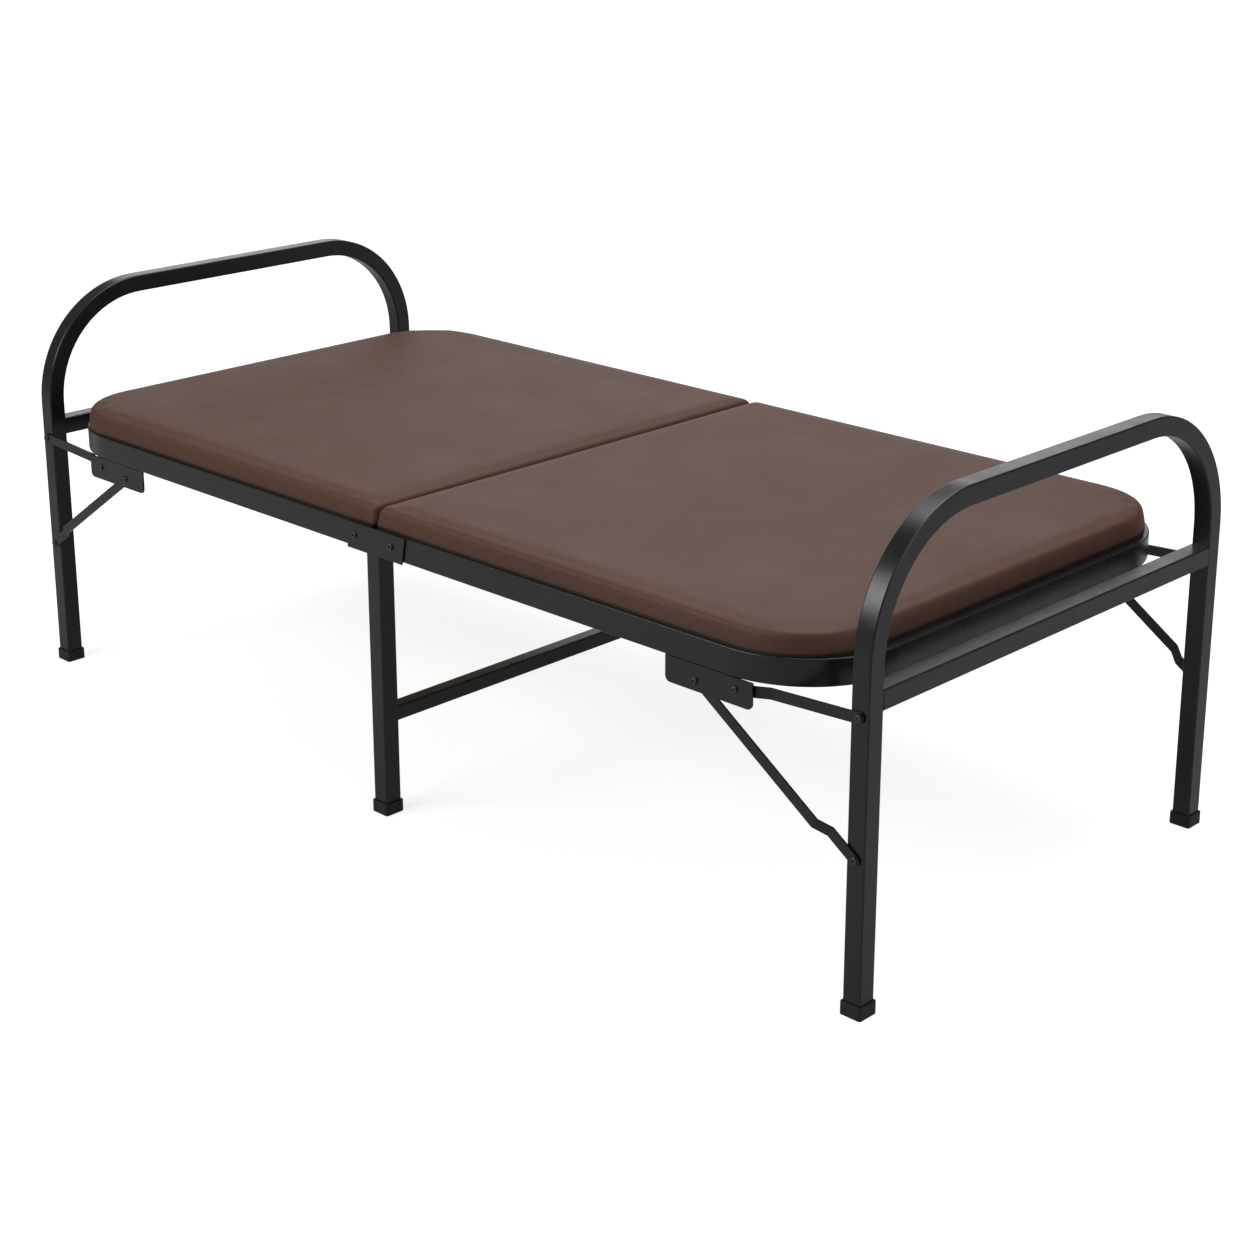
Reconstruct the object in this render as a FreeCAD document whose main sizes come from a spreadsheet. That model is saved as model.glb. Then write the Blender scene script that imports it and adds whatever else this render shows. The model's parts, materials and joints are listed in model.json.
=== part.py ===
"""Folding cot: two padded deck halves on tube frames, a middle stand with a double pivot on each
side, and a bent tube loop at each end whose legs tuck in under the deck on a pair of flat links.

Axes: X along the cot with the foot end at +X, Y across it, Z up. The origin is on the floor under
the middle of the cot. Left is +Y and right is -Y. Millimetres.

Side pieces are drawn in the quarter at +X and -Y and mirrored into the others.
"""

import FreeCAD
import Part
import math
import os
import Sketcher

SIZES = [
    ("loop_spacing", 1870, "between the centre planes of the two end loops"),
    ("loop_width", 850, "end loop, across the outer faces of its legs"),
    ("loop_height", 700, "end loop, floor to the top of the bow"),
    ("loop_bend", 190, "end loop, bend radius on the tube's centre line"),
    ("tube_size", 30, "square tube of the loops and the middle stand"),
    ("tube_wall", 1.5, "wall of every tube"),
    ("tube_round", 2.5, "outer corner radius of the square tubes"),
    ("bore_round", 1, "inner corner radius of the tubes"),
    ("cap_size", 36, "plastic foot cap, side"),
    ("cap_height", 20, "plastic foot cap, height"),
    ("cap_floor", 3, "plastic under the tube's end"),
    ("cap_round", 4, "foot cap, corner radius"),
    ("cap_play", 0.1, "gap between a cap and its tube"),
    ("bar_top", 464, "top of the loop's cross bar"),
    ("stand_width", 896, "middle stand, across its legs"),
    ("stand_bar_size", 25, "middle stand's cross bar, side"),
    ("stand_bar_top", 178, "top of the middle stand's cross bar"),
    ("deck_width", 890, "deck frame, across its side rails"),
    ("deck_end", 885, "deck frame, centre of the cot to its outer end"),
    ("deck_bend", 150, "deck frame, bend radius on the tube's centre line"),
    ("rail_start", 6, "centre of the cot to the open end of the side rails"),
    ("rail_bottom", 436, "underside of the side rails"),
    ("rail_height", 40, "side rail, height"),
    ("rail_thick", 20, "side rail, thickness"),
    ("rail_round", 2, "side rail, outer corner radius"),
    ("cross_size", 20, "cross tube under the board, side"),
    ("cross_inner", 110, "cross tube nearest the middle"),
    ("cross_middle", 405, "cross tube in the middle of the half"),
    ("cross_outer", 700, "cross tube nearest the end"),
    ("pad_gap", 1.5, "centre of the cot to the inner end of the pad"),
    ("pad_end", 868, "centre of the cot to the outer end of the pad"),
    ("pad_width", 882, "pad, across"),
    ("pad_height", 38, "pad, board and cover together"),
    ("pad_corner", 135, "pad, radius of its outer corners"),
    ("pad_inner_corner", 6, "pad, radius of its corners at the middle"),
    ("pad_edge", 12, "pad, radius of its top edge"),
    ("cover_thick", 1.5, "leatherette cover"),
    ("cover_play", 0.2, "gap between the cover and what it holds"),
    ("board_thick", 9, "plywood board"),
    ("hinge_offset", 43, "centre of the cot to a fold pivot"),
    ("hinge_height", 456, "height of the fold pivots"),
    ("sheet_thick", 2.5, "hinge channel's sheet steel"),
    ("rail_play", 0.3, "gap between a side rail and the hinge channel"),
    ("seat_play", 0.5, "gap between a side rail and the channel's seat"),
    ("channel_back", 60, "hinge channel, centre to its square end"),
    ("channel_front_top", 76, "hinge channel, centre to its slanted end at the top"),
    ("channel_front_low", 68, "hinge channel, centre to its slanted end at the bottom"),
    ("ear_radius", 18, "hinge channel's inner flange, end radius"),
    ("bolt_radius", 3, "bolts and rivets, shank"),
    ("pivot_play", 0.05, "radial play between a shank and its hole"),
    ("head_radius", 5.5, "bolts and rivets, head"),
    ("head_height", 2.8, "bolts and rivets, head"),
    ("tail_radius", 5, "rivets, clenched end"),
    ("tail_height", 1.8, "rivets, clenched end"),
    ("socket_size", 4, "hexagon socket, across its flats"),
    ("socket_depth", 1.4, "hexagon socket, depth"),
    ("nut_size", 10, "nut, across its flats"),
    ("nut_height", 5, "nut, height"),
    ("bracket_inner", 613, "link bracket, end nearer the middle"),
    ("bracket_outer", 770, "link bracket, end nearer the loop"),
    ("bracket_drop", 39, "link bracket, below the side rail"),
    ("bracket_thick", 3, "link bracket's plate"),
    ("bracket_corner", 9, "link bracket, lower corner radius"),
    ("lower_pivot_x", 667, "lower link's pivot on the bracket"),
    ("lower_pivot_z", 412, "lower link's pivot on the bracket"),
    ("upper_pivot_x", 739, "upper link's pivot on the bracket"),
    ("upper_pivot_z", 419, "upper link's pivot on the bracket"),
    ("leg_upper_pivot_z", 430, "upper link's pivot on the leg"),
    ("leg_lower_pivot_z", 230, "lower link's pivot on the leg"),
    ("link_width", 16, "flat links, width"),
    ("link_thick", 3, "flat links, thickness"),
    ("link_play", 0.3, "gap between a link and what it slides past"),
    ("upper_step_at", 28, "upper link, pivot to its step"),
    ("lower_step_at", 254, "lower link, pivot to its step"),
    ("step_length", 20, "flat links, length of the step"),
    ("screw_spread", 300, "board screws, from the centre line"),
    ("screw_radius", 2, "board screws, shank"),
    ("screw_head_radius", 4, "board screws, head"),
    ("screw_head_height", 2, "board screws, head"),
    ("screw_bite", 6, "board screws, depth in the board"),
]

doc = FreeCAD.newDocument("folding_cot")
sheet = doc.addObject("Spreadsheet::Sheet", "dims")
for row, (alias, value, note) in enumerate(SIZES, start=1):
    sheet.set(f"A{row}", alias)
    sheet.set(f"B{row}", str(value))
    sheet.setAlias(f"B{row}", alias)
    sheet.set(f"C{row}", note)
doc.recompute()

nodes = []

# Expressions that several pieces share.
LOOP_X = "dims.loop_spacing / 2"
LEG_Y = "-(dims.loop_width - dims.tube_size) / 2"
STAND_LEG_Y = "-(dims.stand_width - dims.tube_size) / 2"
SEAT_Z = "dims.rail_bottom - dims.seat_play"
STAND_TOP = f"{SEAT_Z} - dims.sheet_thick"
RAIL_TOP = "dims.rail_bottom + dims.rail_height"
RAIL_OUT = "dims.deck_width / 2"
RAIL_IN = "dims.deck_width / 2 - dims.rail_thick"
HOLE = "dims.bolt_radius + dims.pivot_play"

# Distances from the cot's centre line, from the leg outwards.
LEG_FACE = "dims.loop_width / 2"
LEG_LINK_IN = f"{LEG_FACE} + dims.link_play"
LEG_LINK_OUT = f"{LEG_LINK_IN} + dims.link_thick"
LOWER_LINK_OUT = f"{RAIL_OUT} - dims.bracket_thick - dims.link_play"
LOWER_LINK_IN = f"{LOWER_LINK_OUT} - dims.link_thick"
LOWER_TAIL_IN = f"{LOWER_LINK_IN} - dims.link_play / 2 - dims.tail_height"
UPPER_LINK_OUT = f"{LOWER_TAIL_IN} - dims.link_play"
UPPER_LINK_IN = f"{UPPER_LINK_OUT} - dims.link_thick"
UPPER_TAIL_IN = f"{UPPER_LINK_IN} - dims.link_play / 2 - dims.tail_height"


def size(expression):
    """The value of an expression on the sheet, in millimetres."""
    return float(sheet.evalExpression(expression))


def bind(thing, prop, expression):
    """Set a property now and tie it to the sheet."""
    thing.setExpression(prop, expression)


def new_body(name):
    return doc.addObject("PartDesign::Body", name)


def sketch_on(body, name, role, offset="0"):
    """A sketch on one of the body's own origin planes, moved along the plane's normal."""
    plane = next(f for f in body.Origin.OriginFeatures if f.Role == role)
    sketch = body.newObject("Sketcher::SketchObject", name)
    sketch.AttachmentSupport = (plane, [""])
    sketch.MapMode = "FlatFace"
    bind(sketch, "AttachmentOffset.Base.z", offset)
    return sketch


def pin_point(sketch, geometry, position, at):
    """Tie a point's two coordinates to the sheet."""
    for kind, expression in zip(("DistanceX", "DistanceY"), at):
        rule = Sketcher.Constraint(kind, -1, 1, geometry, position, size(expression))
        bind(sketch, f"Constraints[{sketch.addConstraint(rule)}]", expression)


def trace(sketch, corners, closed=True):
    """Draw straight runs between corners given as (x, y) or (x, y, radius) expressions.

    A corner with a radius is rounded, and its two runs have to lie along the sketch's axes.
    """
    count = len(corners)
    values = [[size(e) for e in corner] for corner in corners]
    starts = []
    ends = []
    for i, corner in enumerate(corners):
        if len(corner) == 2:
            starts.append(corner)
            ends.append(corner)
            continue
        x, y, radius = corner
        for points, other in ((ends, values[i - 1]), (starts, values[(i + 1) % count])):
            dx = other[0] - values[i][0]
            dy = other[1] - values[i][1]
            if abs(dx) > abs(dy):
                points.append((f"{x} + ({math.copysign(1, dx)}) * ({radius})", y))
            else:
                points.append((x, f"{y} + ({math.copysign(1, dy)}) * ({radius})"))
    runs = count if closed else count - 1
    lines = []
    for i in range(runs):
        start = starts[i]
        end = ends[(i + 1) % count]
        points = [FreeCAD.Vector(size(p[0]), size(p[1]), 0) for p in (start, end)]
        line = sketch.addGeometry(Part.LineSegment(*points), False)
        pin_point(sketch, line, 1, start)
        pin_point(sketch, line, 2, end)
        lines.append(line)
    for i, corner in enumerate(corners):
        if len(corner) == 2:
            continue
        before = sketch.Geometry[lines[i - 1]]
        after = sketch.Geometry[lines[i]]
        corner_point = FreeCAD.Vector(values[i][0], values[i][1], 0)
        middle = before.EndPoint + after.StartPoint - corner_point
        reach = (corner_point - middle).normalize() * values[i][2]
        arc = Part.Arc(before.EndPoint, middle + reach, after.StartPoint)
        arc_id = sketch.addGeometry(arc, False)
        turns_left = (before.EndPoint - before.StartPoint).cross(after.EndPoint - after.StartPoint).z > 0
        first, last = (1, 2) if turns_left else (2, 1)
        sketch.addConstraint(Sketcher.Constraint("Coincident", lines[i - 1], 2, arc_id, first))
        sketch.addConstraint(Sketcher.Constraint("Coincident", arc_id, last, lines[i], 1))
        centre_x = corner_centre_x(corners[i], starts[i], ends[i])
        rule = Sketcher.Constraint("DistanceX", -1, 1, arc_id, 3, size(centre_x))
        bind(sketch, f"Constraints[{sketch.addConstraint(rule)}]", centre_x)


def corner_centre_x(corner, start, end):
    """The rounded corner's centre shares its X with whichever tangent point leaves along X."""
    return end[0] if end[0] != corner[0] else start[0]


def rectangle(x, y, width, height, radius=None):
    """Corners of a rectangle about (x, y), for trace()."""
    corners = []
    for across, up in ((-1, -1), (1, -1), (1, 1), (-1, 1)):
        corner = (f"{x} + ({across}) * ({width}) / 2", f"{y} + ({up}) * ({height}) / 2")
        corners.append(corner + ((radius,) if radius else ()))
    return corners


def tube_section(sketch, x, y, width, height, radius):
    """The hollow section of a rectangular tube about (x, y)."""
    trace(sketch, rectangle(x, y, width, height, radius))
    bore = [f"({side} - 2 * dims.tube_wall)" for side in (width, height)]
    trace(sketch, rectangle(x, y, *bore, "dims.bore_round"))


def circle(sketch, x, y, radius):
    ring = Part.Circle(FreeCAD.Vector(size(x), size(y), 0), FreeCAD.Vector(0, 0, 1), size(radius))
    ring_id = sketch.addGeometry(ring, False)
    pin_point(sketch, ring_id, 3, (x, y))
    rule = Sketcher.Constraint("Radius", ring_id, size(radius))
    bind(sketch, f"Constraints[{sketch.addConstraint(rule)}]", radius)


def pad(body, sketch, length, midplane=False, reverse=False):
    feature = body.newObject("PartDesign::Pad", f"{sketch.Name}_pad")
    feature.Profile = (sketch, [""])
    feature.Midplane = midplane
    feature.Reversed = reverse
    bind(feature, "Length", length)
    sketch.Visibility = False
    return feature


def pocket(body, sketch, length, midplane=False, reverse=False):
    """Cut a pocket and make sure that it removed material."""
    doc.recompute()
    before = body.Shape.Volume
    feature = body.newObject("PartDesign::Pocket", f"{sketch.Name}_pocket")
    feature.Profile = (sketch, [""])
    feature.Midplane = midplane
    feature.Reversed = reverse
    bind(feature, "Length", length)
    doc.recompute()
    if body.Shape.Volume >= before:
        raise RuntimeError(f"{feature.Name} cut nothing")
    return feature


def pipe(body, section, path):
    feature = body.newObject("PartDesign::AdditivePipe", f"{section.Name}_pipe")
    feature.Profile = (section, [""])
    edges = [f"Edge{i + 1}" for i in range(path.GeometryCount)]
    feature.Spine = (path, edges)
    return feature


def round_edges(body, base, radius, wanted):
    """Fillet the edges of the last feature that the test picks."""
    doc.recompute()
    names = [f"Edge{i}" for i, edge in enumerate(base.Shape.Edges, start=1) if wanted(edge)]
    feature = body.newObject("PartDesign::Fillet", f"{base.Name}_fillet")
    feature.Base = (base, names)
    bind(feature, "Radius", radius)
    return feature


def mirrored(source, label, normal):
    copy = doc.addObject("Part::Mirroring", label)
    copy.Source = source
    copy.Normal = FreeCAD.Vector(*normal)
    return copy


def keep(piece, label):
    """Make a document object a node of the cot."""
    piece.Label = label
    nodes.append(piece)
    return piece


def keep_both_sides(piece, label):
    """Keep a piece at -Y as the right one, and its mirror image as the left one."""
    keep(piece, f"{label}_right")
    keep(mirrored(piece, f"{label}_mirror_y", (0, 1, 0)), f"{label}_left")


def keep_both_ends(piece, label):
    """Keep a piece at +X for the foot half, and its mirror image for the head half."""
    keep(piece, f"foot_{label}")
    keep(mirrored(piece, f"{label}_mirror_x", (1, 0, 0)), f"head_{label}")


def keep_four(piece, label):
    """Keep a piece at +X and -Y, and its images in the other three quarters."""
    keep_both_ends(piece, f"{label}_right")
    left = mirrored(piece, f"{label}_mirror_y", (0, 1, 0))
    keep_both_ends(left, f"{label}_left")


def group(label, pieces):
    """Separate solids that share a node."""
    bunch = doc.addObject("Part::Compound", label)
    bunch.Links = pieces
    return bunch


def both_sides(piece):
    return [piece, mirrored(piece, f"{piece.Name}_mirror", (0, 1, 0))]


def leg_tube(name, x, y, bottom, top):
    body = new_body(name)
    section = sketch_on(body, f"{name}_section", "XY_Plane", bottom)
    tube_section(section, x, y, "dims.tube_size", "dims.tube_size", "dims.tube_round")
    pad(body, section, f"{top} - ({bottom})")
    return body


def cross_tube(name, x, top, side, length, radius):
    """A square tube across the cot, as long as the gap that it is welded into."""
    body = new_body(name)
    section = sketch_on(body, f"{name}_section", "XZ_Plane")
    tube_section(section, x, f"{top} - {side} / 2", side, side, radius)
    pad(body, section, length, midplane=True)
    return body


def leg_cap(name, x, y):
    """A plastic cap pushed over the end of a leg, with eased edges."""
    body = new_body(name)
    outline = sketch_on(body, f"{name}_outline", "XY_Plane")
    trace(outline, rectangle(x, y, "dims.cap_size", "dims.cap_size", "dims.cap_round"))
    block = pad(body, outline, "dims.cap_height")
    round_edges(body, block, "dims.bore_round", lambda e: abs(e.BoundBox.ZLength) < 0.01)
    hole = sketch_on(body, f"{name}_hole", "XY_Plane", "dims.cap_floor")
    inside = "(dims.tube_size + 2 * dims.cap_play)"
    trace(hole, rectangle(x, y, inside, inside, "dims.tube_round"))
    pocket(body, hole, "dims.cap_height", reverse=True)
    return body


def turned(name, profile, axis_x, axis_z):
    """A piece turned about a line along Y. The profile is (radius, distance from centre line)."""
    body = new_body(name)
    sketch = sketch_on(body, f"{name}_profile", "YZ_Plane", axis_x)
    trace(sketch, [(f"-({out})", f"{axis_z} + {radius}") for radius, out in profile])
    axis = sketch.addGeometry(
        Part.LineSegment(FreeCAD.Vector(-1, size(axis_z), 0), FreeCAD.Vector(1, size(axis_z), 0)), True
    )
    pin_point(sketch, axis, 1, ("-1", axis_z))
    pin_point(sketch, axis, 2, ("1", axis_z))
    feature = body.newObject("PartDesign::Revolution", f"{name}_turned")
    feature.Profile = (sketch, [""])
    feature.ReferenceAxis = (sketch, ["Axis0"])
    feature.Angle = 360
    return body, feature


def button_head(body, feature, name, axis_x, axis_z, face):
    """Round the outer rim of a head that stands on a face, and cut its hexagon socket."""
    top = f"{face} + dims.head_height"
    rim_y = -size(top)
    rounded = round_edges(
        body, feature, "dims.head_height * 0.6", lambda e: abs(e.BoundBox.YMin - rim_y) < 0.01 and e.Closed
    )
    socket = sketch_on(body, f"{name}_socket", "XZ_Plane", top)
    reach = "dims.socket_size / sqrt(3)"
    corners = []
    for k in range(6):
        turn = f"({60 * k} deg)"
        corners.append((f"{axis_x} + {reach} * cos({turn})", f"{axis_z} + {reach} * sin({turn})"))
    trace(socket, corners)
    pocket(body, socket, "dims.socket_depth")
    return rounded


def fold_bolt(name, x):
    """One of the bolts that the side rails fold on."""
    face = f"{RAIL_OUT} + dims.rail_play + dims.sheet_thick"
    end = f"{RAIL_IN} - dims.rail_play - dims.sheet_thick - dims.nut_height - 1"
    profile = [
        ("0", end),
        ("dims.bolt_radius", end),
        ("dims.bolt_radius", face),
        ("dims.head_radius", face),
        ("dims.head_radius", f"{face} + dims.head_height"),
        ("0", f"{face} + dims.head_height"),
    ]
    body, feature = turned(name, profile, x, "dims.hinge_height")
    button_head(body, feature, name, x, "dims.hinge_height", face)
    return body


def fold_nut(name, x):
    body = new_body(name)
    top = f"{RAIL_IN} - dims.rail_play - dims.sheet_thick"
    outline = sketch_on(body, f"{name}_outline", "XZ_Plane", top)
    reach = "dims.nut_size / sqrt(3)"
    corners = []
    for k in range(6):
        turn = f"({60 * k + 30} deg)"
        corners.append((f"{x} + {reach} * cos({turn})", f"dims.hinge_height + {reach} * sin({turn})"))
    trace(outline, corners)
    circle(outline, x, "dims.hinge_height", HOLE)
    pad(body, outline, "dims.nut_height", reverse=True)
    return body


def hinge_channel():
    """The folded channel on top of a stand leg, which holds both halves' side rails."""
    body = new_body("hinge_channel")
    low = STAND_TOP
    outer = sketch_on(body, "channel_outer", "XZ_Plane", f"{RAIL_OUT} + dims.rail_play")
    outer_corners = [
        ("-dims.channel_back", low),
        ("dims.channel_front_low", low),
        ("dims.channel_front_top", RAIL_TOP),
        ("-dims.channel_back", RAIL_TOP),
    ]
    trace(outer, outer_corners)
    pad(body, outer, "dims.sheet_thick")
    seat = sketch_on(body, "channel_seat", "XY_Plane", low)
    inner_face = f"{RAIL_IN} - dims.rail_play - dims.sheet_thick"
    outer_face = f"{RAIL_OUT} + dims.rail_play + dims.sheet_thick"
    seat_y = f"-({inner_face} + {outer_face}) / 2"
    trace(seat, rectangle("0", seat_y, "dims.tube_size", f"({outer_face} - ({inner_face}))"))
    pad(body, seat, "dims.sheet_thick")
    inner = sketch_on(body, "channel_inner", "XZ_Plane", inner_face)
    ear = "dims.ear_radius"
    reach = f"dims.hinge_offset + {ear}"
    ear_low = f"dims.hinge_height - {ear}"
    ear_high = f"dims.hinge_height + {ear}"
    nearly = f"{ear} * 0.98"
    inner_corners = [
        ("-dims.tube_size / 2", low),
        ("dims.tube_size / 2", low),
        ("dims.tube_size / 2", ear_low),
        (reach, ear_low, nearly),
        (reach, ear_high, nearly),
        (f"-({reach})", ear_high, nearly),
        (f"-({reach})", ear_low, nearly),
        ("-dims.tube_size / 2", ear_low),
    ]
    trace(inner, inner_corners)
    pad(body, inner, "dims.sheet_thick")
    holes = sketch_on(body, "channel_holes", "XZ_Plane", RAIL_OUT)
    for x in ("dims.hinge_offset", "-dims.hinge_offset"):
        circle(holes, x, "dims.hinge_height", HOLE)
    pocket(body, holes, "dims.rail_thick * 4", midplane=True)
    return body


def build_stand():
    """The middle stand: two legs, a low cross bar, foot caps and the two hinge channels."""
    leg = leg_tube("stand_leg", "0", STAND_LEG_Y, "dims.cap_floor", STAND_TOP)
    keep_both_sides(leg, "stand_leg")
    span = "dims.stand_width - 2 * dims.tube_size"
    bar_size = "dims.stand_bar_size"
    bar = cross_tube("stand_cross_bar", "0", "dims.stand_bar_top", bar_size, span, "dims.tube_round")
    keep(bar, "stand_cross_bar")
    keep_both_sides(leg_cap("stand_cap", "0", STAND_LEG_Y), "stand_leg_cap")
    keep_both_sides(hinge_channel(), "hinge_channel")
    bolts = []
    nuts = []
    for label, x in (("foot", "dims.hinge_offset"), ("head", "-dims.hinge_offset")):
        bolts += both_sides(fold_bolt(f"{label}_fold_bolt", x))
        nuts += both_sides(fold_nut(f"{label}_fold_nut", x))
    keep(group("fold_bolt_group", bolts), "fold_bolts")
    keep(group("fold_nut_group", nuts), "fold_nuts")


def deck_frame():
    """A bent U of rectangular tube, open towards the middle of the cot."""
    body = new_body("deck_frame")
    mid_z = "dims.rail_bottom + dims.rail_height / 2"
    side = "(dims.deck_width - dims.rail_thick) / 2"
    crown = "dims.deck_end - dims.rail_thick / 2"
    path = sketch_on(body, "deck_path", "XY_Plane", mid_z)
    route = [
        ("dims.rail_start", f"-{side}"),
        (crown, f"-{side}", "dims.deck_bend"),
        (crown, side, "dims.deck_bend"),
        ("dims.rail_start", side),
    ]
    trace(path, route, closed=False)
    section = sketch_on(body, "deck_section", "YZ_Plane", "dims.rail_start")
    tube_section(section, f"-{side}", mid_z, "dims.rail_thick", "dims.rail_height", "dims.rail_round")
    pipe(body, section, path)
    holes = sketch_on(body, "deck_holes", "XZ_Plane")
    circle(holes, "dims.hinge_offset", "dims.hinge_height", HOLE)
    pocket(body, holes, "dims.deck_width * 2", midplane=True)
    return body


def pad_block(name, inset, bottom, top, edge=None):
    """A block of the pad's outline, inset all round, with an optional rounded top edge."""
    body = new_body(name)
    outline = sketch_on(body, f"{name}_outline", "XY_Plane", bottom)
    inner_x = f"dims.pad_gap + {inset}"
    outer_x = f"dims.pad_end - ({inset})"
    side = f"(dims.pad_width / 2 - ({inset}))"
    outer_round = f"dims.pad_corner - ({inset})"
    inner_round = f"dims.pad_inner_corner - ({inset})"
    corners = [
        (inner_x, f"-{side}", inner_round),
        (outer_x, f"-{side}", outer_round),
        (outer_x, side, outer_round),
        (inner_x, side, inner_round),
    ]
    trace(outline, corners)
    block = pad(body, outline, f"{top} - ({bottom})")
    if edge:
        top_z = size(top)
        round_edges(body, block, edge, lambda e: e.BoundBox.ZMin > top_z - 0.01)
    return body


def screw_positions():
    for x in ("dims.cross_inner", "dims.cross_outer"):
        for y in ("dims.screw_spread", "-dims.screw_spread"):
            yield x, y


def with_screw_holes(body, name, depth):
    """Drill a piece for the board screws that pass through it."""
    holes = sketch_on(body, f"{name}_screw_holes", "XY_Plane", "dims.rail_bottom")
    for x, y in screw_positions():
        if name != "board" and x != f"dims.{name}":
            continue
        circle(holes, x, y, "dims.screw_radius + dims.pivot_play")
    pocket(body, holes, depth, reverse=True)
    return body


def board_screw(name, x, y):
    """A pan-head screw that comes up through a cross tube into the board."""
    body = new_body(name)
    seat = f"{RAIL_TOP} - dims.cross_size"
    head = sketch_on(body, f"{name}_head", "XY_Plane", f"{seat} - dims.screw_head_height")
    circle(head, x, y, "dims.screw_head_radius")
    pad(body, head, "dims.screw_head_height")
    shank = sketch_on(body, f"{name}_shank", "XY_Plane", seat)
    circle(shank, x, y, "dims.screw_radius")
    pad(body, shank, "dims.cross_size + dims.screw_bite")
    return body


def bracket():
    """The plate under a side rail that carries both links."""
    body = new_body("bracket")
    outline = sketch_on(body, "bracket_outline", "XZ_Plane", f"{RAIL_OUT} - dims.bracket_thick")
    low = "dims.rail_bottom - dims.bracket_drop"
    corners = [
        ("dims.bracket_inner", low, "dims.bracket_corner"),
        ("dims.bracket_outer", low, "dims.bracket_corner"),
        ("dims.bracket_outer", "dims.rail_bottom"),
        ("dims.bracket_inner", "dims.rail_bottom"),
    ]
    trace(outline, corners)
    pad(body, outline, "dims.bracket_thick")
    holes = sketch_on(body, "bracket_holes", "XZ_Plane", RAIL_OUT)
    circle(holes, "dims.lower_pivot_x", "dims.lower_pivot_z", HOLE)
    circle(holes, "dims.upper_pivot_x", "dims.upper_pivot_z", HOLE)
    pocket(body, holes, "dims.bracket_thick * 4", midplane=True)
    return body


def rivet(name, x, z, face, tail_in, shoulder=None):
    """A button-head rivet whose head stands on a face and whose tail is clenched inside."""
    tail_out = f"{tail_in} + dims.tail_height"
    profile = [
        ("0", tail_in),
        ("dims.tail_radius", tail_in),
        ("dims.tail_radius", tail_out),
        ("dims.bolt_radius", tail_out),
    ]
    if shoulder:
        profile += [
            ("dims.bolt_radius", shoulder[0]),
            ("dims.tail_radius", shoulder[0]),
            ("dims.tail_radius", shoulder[1]),
            ("dims.bolt_radius", shoulder[1]),
        ]
    profile += [
        ("dims.bolt_radius", face),
        ("dims.head_radius", face),
        ("dims.head_radius", f"{face} + dims.head_height"),
        ("0", f"{face} + dims.head_height"),
    ]
    body, feature = turned(name, profile, x, z)
    button_head(body, feature, name, x, z, face)
    return body


def open_rivet(name, x, z):
    """The rivet at the lower end of the lower link. It ends flush with the link's inner face."""
    profile = [
        ("0", LEG_LINK_IN),
        ("dims.bolt_radius", LEG_LINK_IN),
        ("dims.bolt_radius", LEG_LINK_OUT),
        ("dims.head_radius", LEG_LINK_OUT),
        ("dims.head_radius", f"{LEG_LINK_OUT} + dims.head_height"),
        ("0", f"{LEG_LINK_OUT} + dims.head_height"),
    ]
    body, feature = turned(name, profile, x, z)
    button_head(body, feature, name, x, z, LEG_LINK_OUT)
    return body


def stepped_link(name, start, end, outer_in, step_at):
    """A flat bar between two pivots that steps inwards, from outer_in to the leg's side.

    It is drawn lying along X from its first pivot, and then turned to its slope about Y.
    """
    body = new_body(name)
    run = f"sqrt(({end[0]} - {start[0]})^2 + ({end[1]} - {start[1]})^2)"
    over = "dims.link_width / 2"
    inner_in = LEG_LINK_IN
    step_end = f"{step_at} + dims.step_length"
    lean = f"dims.link_thick * tan(atan(({outer_in} - ({inner_in})) / dims.step_length) / 2)"
    strip = sketch_on(body, f"{name}_strip", "XY_Plane")
    corners = [
        (f"-{over}", f"-({outer_in})"),
        (f"{step_at}", f"-({outer_in})"),
        (step_end, f"-({inner_in})"),
        (f"{run} + {over}", f"-({inner_in})"),
        (f"{run} + {over}", f"-({inner_in} + dims.link_thick)"),
        (f"{step_end} + {lean}", f"-({inner_in} + dims.link_thick)"),
        (f"{step_at} + {lean}", f"-({outer_in} + dims.link_thick)"),
        (f"-{over}", f"-({outer_in} + dims.link_thick)"),
    ]
    trace(strip, corners)
    bar = pad(body, strip, "dims.link_width", midplane=True)
    reach = (-size(over), size(f"{run} + {over}"))
    round_edges(
        body,
        bar,
        f"{over} * 0.98",
        lambda e: e.BoundBox.XLength < 0.01
        and e.BoundBox.ZLength < 0.01
        and min(abs(e.BoundBox.XMin - r) for r in reach) < 0.01,
    )
    holes = sketch_on(body, f"{name}_holes", "XZ_Plane", RAIL_OUT)
    circle(holes, "0", "0", HOLE)
    circle(holes, run, "0", HOLE)
    pocket(body, holes, "dims.rail_thick * 4", midplane=True)
    dx = size(f"{end[0]} - {start[0]}")
    dz = size(f"{end[1]} - {start[1]}")
    slope = math.degrees(math.atan2(dz, dx))
    turn = FreeCAD.Rotation(FreeCAD.Vector(0, 1, 0), -slope)
    body.Placement = FreeCAD.Placement(FreeCAD.Vector(size(start[0]), 0, size(start[1])), turn)
    return body


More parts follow.
